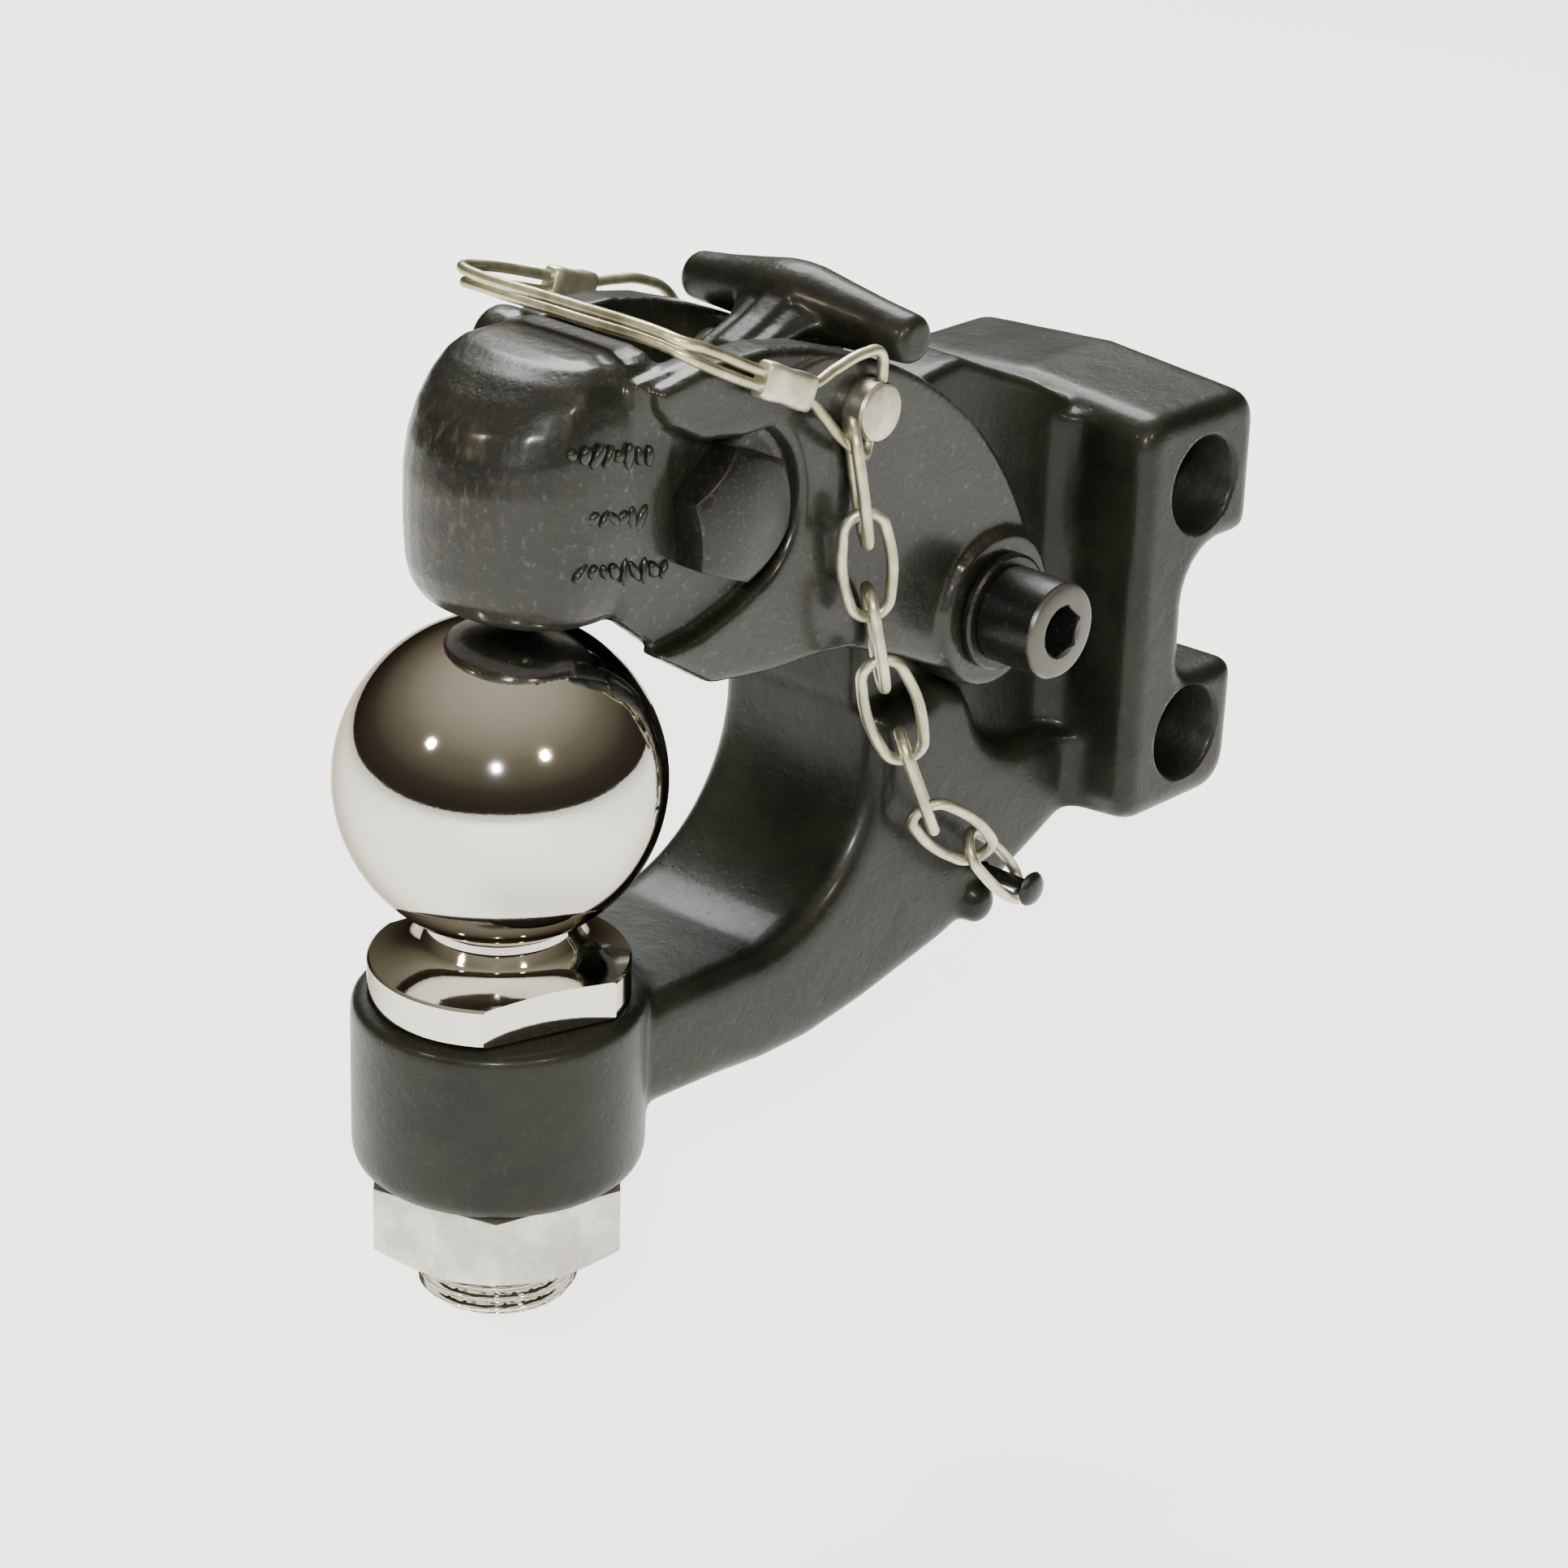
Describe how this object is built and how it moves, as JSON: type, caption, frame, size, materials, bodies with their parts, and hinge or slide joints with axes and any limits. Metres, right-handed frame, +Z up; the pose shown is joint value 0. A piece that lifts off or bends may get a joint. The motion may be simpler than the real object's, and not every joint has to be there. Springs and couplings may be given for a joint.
{
  "type": "combination trailer hitch",
  "caption": "Bolt-on trailer hitch that takes a ball coupler or a tow ring: fixed ball, hinged upper jaw with a latching T-handle lever, lock pin with wire bail and safety chain.",
  "frame": {"origin": "midway between the two channel bolt holes, on the hitch's middle plane", "axes": "+X back to the channel it bolts into, +Y to the hitch's left side, +Z up; the ball's axis is along Z"},
  "size_m": [0.172, 0.0725, 0.1585],
  "materials": {
    "forging": "semi-gloss black paint on forged steel",
    "ball": "polished chrome plate",
    "plated": "zinc-plated steel",
    "bolts": "black oxide steel"
  },
  "bodies": {
    "base": {"base_forging": "forging", "tow_ball": "ball", "ball_nut": "plated", "pivot_bolt": "bolts", "pivot_washer": "bolts", "pivot_washer_far": "bolts", "pivot_nut": "bolts", "chain_stud": "bolts"},
    "jaw": {"upper_jaw": "forging", "lever_bolt": "bolts", "lever_bolt_nut": "bolts"},
    "lever": {"lock_lever": "forging"},
    "pin": {"safety_pin": "plated"},
    "bail": {"bail_wire": "plated", "near_ferrule": "plated", "far_ferrule": "plated"},
    "chain": {"chain_link_1": "plated", "chain_link_2": "plated", "chain_link_3": "plated", "chain_link_4": "plated", "chain_link_5": "plated", "chain_link_6": "plated", "chain_link_7": "plated"}
  },
  "joints": [
    {"name": "jaw_pivot", "type": "hinge", "parent": "base", "child": "jaw", "pos_m": [-0.0428, 0, 0.0092], "axis": [0, 1, 0], "range_deg": [0, 45]},
    {"name": "lock_pivot", "type": "hinge", "parent": "jaw", "child": "lever", "pos_m": [-0.1043, 0, 0.0405], "axis": [0, -1, 0], "range_deg": [0, 36]},
    {"name": "pin_slide", "type": "slide", "parent": "jaw", "child": "pin", "axis": [0, -1, 0], "range_m": [0, 0.046], "deforming": ["bail_wire", "far_ferrule"]},
    {"name": "bail_swing", "type": "hinge", "parent": "pin", "child": "bail", "pos_m": [-0.0758, -0.0219, 0.0505], "axis": [1, 0, 0], "range_deg": [0, 110]},
    {"name": "chain_swing", "type": "hinge", "parent": "base", "child": "chain", "pos_m": [-0.0384, -0.0244, -0.0396], "axis": [0, 1, 0], "range_deg": [0, 17]}
  ],
  "couplings": [
    {"joint": "lock_pivot", "follows": "jaw_pivot", "ratio": 0.8},
    {"joint": "chain_swing", "follows": "jaw_pivot", "ratio": 0.36}
  ]
}
